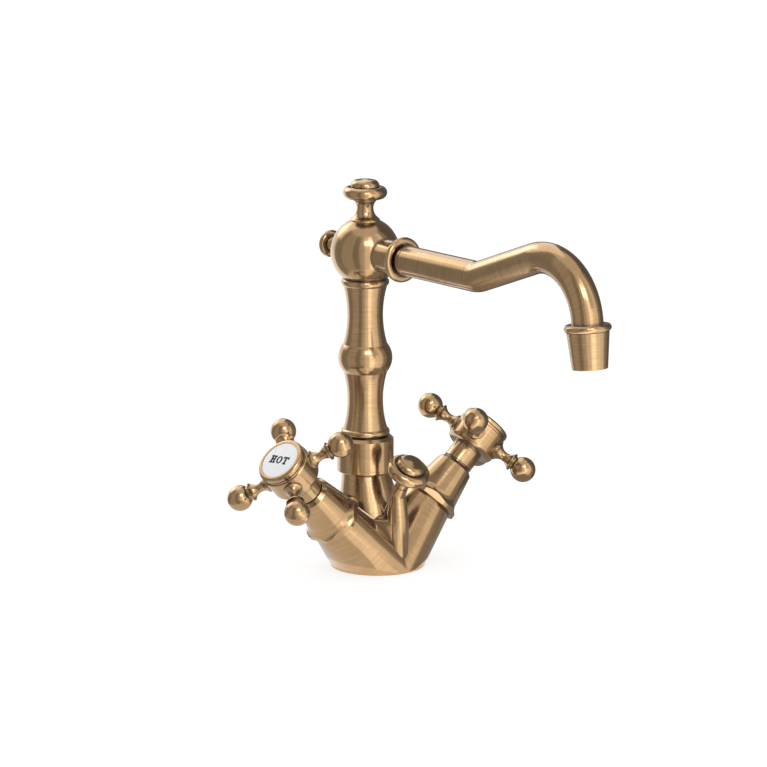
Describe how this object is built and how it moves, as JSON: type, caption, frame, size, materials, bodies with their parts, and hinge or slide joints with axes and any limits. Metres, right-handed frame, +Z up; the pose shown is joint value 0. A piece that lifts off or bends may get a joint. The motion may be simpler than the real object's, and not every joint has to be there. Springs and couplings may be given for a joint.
{
  "type": "basin mixer tap",
  "caption": "Single-hole basin mixer tap with cross handles on slanted valves, a turned column, a swan spout and a lift knob for the waste",
  "frame": {"origin": "middle of the round foot, on the deck it stands on", "axes": "+Z up, -Y towards the user and the spout's outlet, +X to the cold side"},
  "size_m": [0.1742, 0.223, 0.2062],
  "materials": {
    "aged_brass": "aged, finely brushed satin",
    "plain_brass": "turned, unplated",
    "white_porcelain": "glazed white",
    "valve_ceramic": "lapped",
    "black_rubber": "moulded",
    "white_polymer": "moulded",
    "grey_polymer": "moulded",
    "plain_steel": "zinc plated"
  },
  "bodies": {
    "base": {"valve_body": "aged_brass", "base_gasket": "black_rubber", "union_collar": "aged_brass", "slip_ring": "white_polymer", "lift_guide": "aged_brass", "hot_bonnet": "aged_brass", "hot_headwork": "plain_brass", "hot_seat_seal": "black_rubber", "hot_fixed_disc": "valve_ceramic", "cold_bonnet": "aged_brass", "cold_headwork": "plain_brass", "cold_seat_seal": "black_rubber", "cold_fixed_disc": "valve_ceramic"},
    "spout": {"column": "aged_brass", "column_o_rings": "black_rubber", "ball_head": "aged_brass", "top_finial": "aged_brass", "back_finial": "aged_brass", "spout_collar": "aged_brass", "spout_tube": "aged_brass", "outlet_nozzle": "aged_brass", "aerator_washer": "black_rubber", "aerator_insert": "grey_polymer"},
    "hot_handle": {"hot_handle_hub": "aged_brass", "hot_handle_arms": "aged_brass", "hot_index_bezel": "aged_brass", "hot_index_button": "white_porcelain", "hot_handle_screw": "plain_steel", "hot_spindle": "plain_brass", "hot_turning_disc": "valve_ceramic", "hot_stem_sleeve": "aged_brass"},
    "cold_handle": {"cold_handle_hub": "aged_brass", "cold_handle_arms": "aged_brass", "cold_index_bezel": "aged_brass", "cold_index_button": "white_porcelain", "cold_handle_screw": "plain_steel", "cold_spindle": "plain_brass", "cold_turning_disc": "valve_ceramic", "cold_stem_sleeve": "aged_brass"},
    "lift": {"lift_rod": "aged_brass", "lift_knob": "aged_brass"}
  },
  "joints": [
    {"name": "spout_swivel", "type": "hinge", "parent": "base", "child": "spout", "pos_m": [0, 0.0106, 0.06], "axis": [0, 0, 1], "continuous": true},
    {"name": "hot_turn", "type": "hinge", "parent": "base", "child": "hot_handle", "pos_m": [-0.06283, -0.00632, 0.06114], "axis": [-0.7036, -0.0707, 0.7071], "range_deg": [0, 90]},
    {"name": "cold_turn", "type": "hinge", "parent": "base", "child": "cold_handle", "pos_m": [0.06283, -0.00632, 0.06114], "axis": [0.7036, -0.0707, 0.7071], "range_deg": [-90, 0]},
    {"name": "lift_rod_slide", "type": "slide", "parent": "base", "child": "lift", "axis": [0, -0.5299, 0.848], "range_m": [0, 0.025]}
  ]
}
